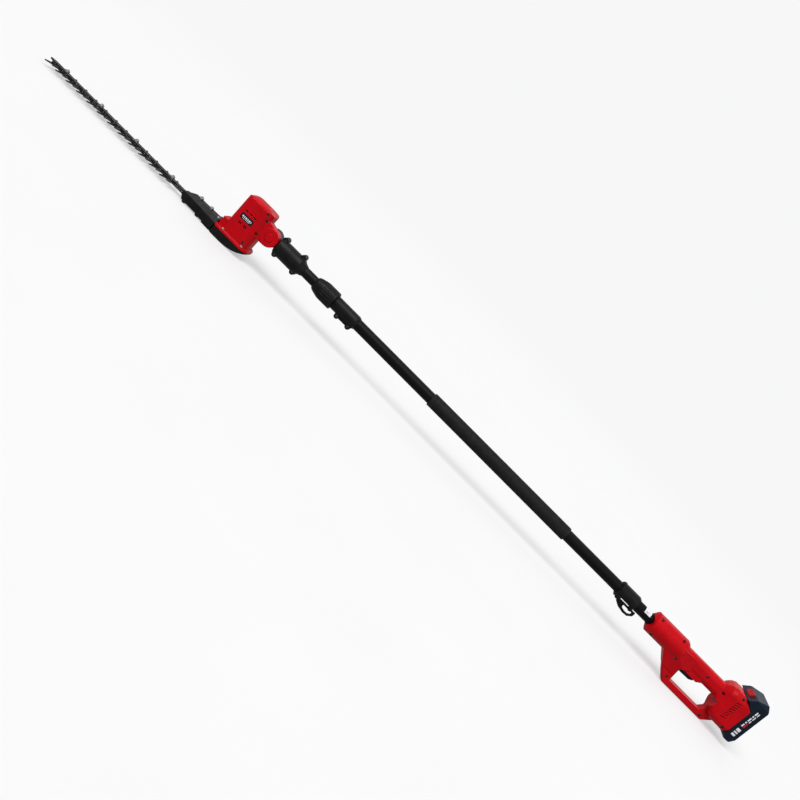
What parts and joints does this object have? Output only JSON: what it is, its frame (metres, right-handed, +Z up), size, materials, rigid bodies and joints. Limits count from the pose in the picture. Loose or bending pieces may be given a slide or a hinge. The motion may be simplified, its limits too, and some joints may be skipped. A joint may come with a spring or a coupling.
{
  "type": "pole hedge trimmer",
  "caption": "Battery pole hedge trimmer with telescoping pole, pivoting cutting head, paired reciprocating blades, trigger handle and slide-on battery.",
  "frame": {"origin": "middle of the tool's overall box, on the surface that the tool stands on", "axes": "+X along the pole towards the battery, -X towards the blade tips, +Z up, the tool's left side at -Y"},
  "size_m": [2.204, 0.076, 0.1414],
  "materials": {
    "red_plastic": "moulded, satin",
    "black_plastic": "moulded, fine texture",
    "navy_plastic": "moulded, fine texture",
    "black_tube": "satin powder coat",
    "inner_tube": "black anodised",
    "grip_rubber": "ribbed",
    "blade_steel": "dark hardened steel",
    "bright_steel": "zinc plated",
    "dark_screw": "black oxide",
    "cast_aluminium": "as cast",
    "gear_steel": "ground",
    "motor_steel": "plated",
    "spring_steel": "bright",
    "contact_brass": "plated",
    "board": "circuit board",
    "cell_wrap": "shrink wrap",
    "label": "printed film",
    "sticker": "white film"
  },
  "bodies": {
    "handle": {"handle_left_shell": "red_plastic", "handle_right_shell": "red_plastic", "handle_screws": "dark_screw", "trigger_switch": "black_plastic", "trigger_spring": "spring_steel", "control_board": "board", "terminal_block": "black_plastic", "contact_blades": "contact_brass", "outer_tube": "black_tube", "grip_sleeve": "grip_rubber", "tube_sticker": "sticker", "collet": "black_plastic", "front_clamp_left": "black_plastic", "front_clamp_right": "black_plastic", "front_clamp_screws": "dark_screw", "strap_collar": "black_plastic"},
    "strap_ring": {"strap_ring": "black_plastic"},
    "trigger": {"trigger": "navy_plastic"},
    "lock_off": {"lock_off_button": "navy_plastic"},
    "battery": {"battery_front_case": "navy_plastic", "battery_rear_case": "navy_plastic", "battery_screws": "dark_screw", "battery_label": "label", "battery_cells": "cell_wrap"},
    "battery_button": {"battery_release_button": "red_plastic"},
    "collar": {"twist_lock_collar": "black_plastic"},
    "pole": {"inner_tube": "inner_tube", "inner_tube_bush": "black_plastic", "bracket_left_shell": "black_plastic", "bracket_right_shell": "black_plastic", "bracket_screws": "dark_screw", "hinge_knuckle": "navy_plastic", "pivot_bolt": "bright_steel", "pivot_nut": "bright_steel"},
    "head": {"head_left_shell": "red_plastic", "head_right_shell": "red_plastic", "head_screws": "dark_screw", "head_label": "label", "motor_can": "motor_steel", "motor_plate": "motor_steel", "gear_plate": "cast_aluminium", "gear_bearing": "gear_steel", "gear_case_cover": "black_plastic", "flange_bolts": "bright_steel", "blade_guard": "black_plastic", "guard_fixing_bolts": "bright_steel", "support_bar": "blade_steel", "blade_bolts": "bright_steel", "blade_nuts": "bright_steel", "blade_washers": "bright_steel", "pivot_button_spring": "spring_steel"},
    "pivot_button": {"pivot_lock_button": "red_plastic"},
    "motor": {"motor_shaft": "gear_steel", "motor_fan": "black_plastic", "motor_pinion": "gear_steel"},
    "gear": {"main_gear": "gear_steel", "gear_shaft": "gear_steel", "eccentrics": "gear_steel"},
    "upper_blade": {"upper_blade": "blade_steel"},
    "lower_blade": {"lower_blade": "blade_steel"}
  },
  "joints": [
    {"name": "pole_extend", "type": "slide", "parent": "handle", "child": "pole", "axis": [-1, 0, 0], "range_m": [-0.033, 0.45]},
    {"name": "collar_twist", "type": "hinge", "parent": "handle", "child": "collar", "pos_m": [-0.267, 0, 0.084], "axis": [1, 0, 0], "range_deg": [0, 90]},
    {"name": "head_pivot", "type": "hinge", "parent": "pole", "child": "head", "pos_m": [-0.446, 0, 0.086], "axis": [0, 1, 0], "range_deg": [-60, 70]},
    {"name": "pivot_button_press", "type": "slide", "parent": "head", "child": "pivot_button", "axis": [0, 1, 0], "range_m": [0, 0.0035], "stiffness_N_per_m": 600},
    {"name": "gear_spin", "type": "hinge", "parent": "head", "child": "gear", "pos_m": [-0.525, 0, 0.027], "axis": [0, 0, 1], "continuous": true},
    {"name": "motor_spin", "type": "hinge", "parent": "head", "child": "motor", "pos_m": [-0.495, 0, 0.034], "axis": [0, 0, 1], "continuous": true},
    {"name": "upper_blade_stroke", "type": "slide", "parent": "head", "child": "upper_blade", "axis": [1, 0, 0], "range_m": [-0.0065, 0.0065]},
    {"name": "lower_blade_stroke", "type": "slide", "parent": "head", "child": "lower_blade", "axis": [1, 0, 0], "range_m": [-0.0065, 0.0065]},
    {"name": "trigger_squeeze", "type": "slide", "parent": "handle", "child": "trigger", "axis": [0, 0, 1], "range_m": [0, 0.006], "stiffness_N_per_m": 900},
    {"name": "lock_off_press", "type": "slide", "parent": "handle", "child": "lock_off", "axis": [0, -1, 0], "range_m": [0, 0.002], "stiffness_N_per_m": 600},
    {"name": "battery_remove", "type": "slide", "parent": "handle", "child": "battery", "axis": [0, 0, 1], "range_m": [0, 0.085]},
    {"name": "battery_button_press", "type": "slide", "parent": "battery", "child": "battery_button", "axis": [0.6843, 0, -0.7292], "range_m": [0, 0.0025], "stiffness_N_per_m": 600},
    {"name": "strap_ring_swing", "type": "hinge", "parent": "handle", "child": "strap_ring", "pos_m": [0.722, 0, 0.0654], "axis": [1, 0, 0], "range_deg": [-70, 70]}
  ],
  "couplings": [
    {"joint": "motor_spin", "follows": "gear_spin", "ratio": -3},
    {"joint": "lower_blade_stroke", "follows": "upper_blade_stroke", "ratio": -1}
  ]
}
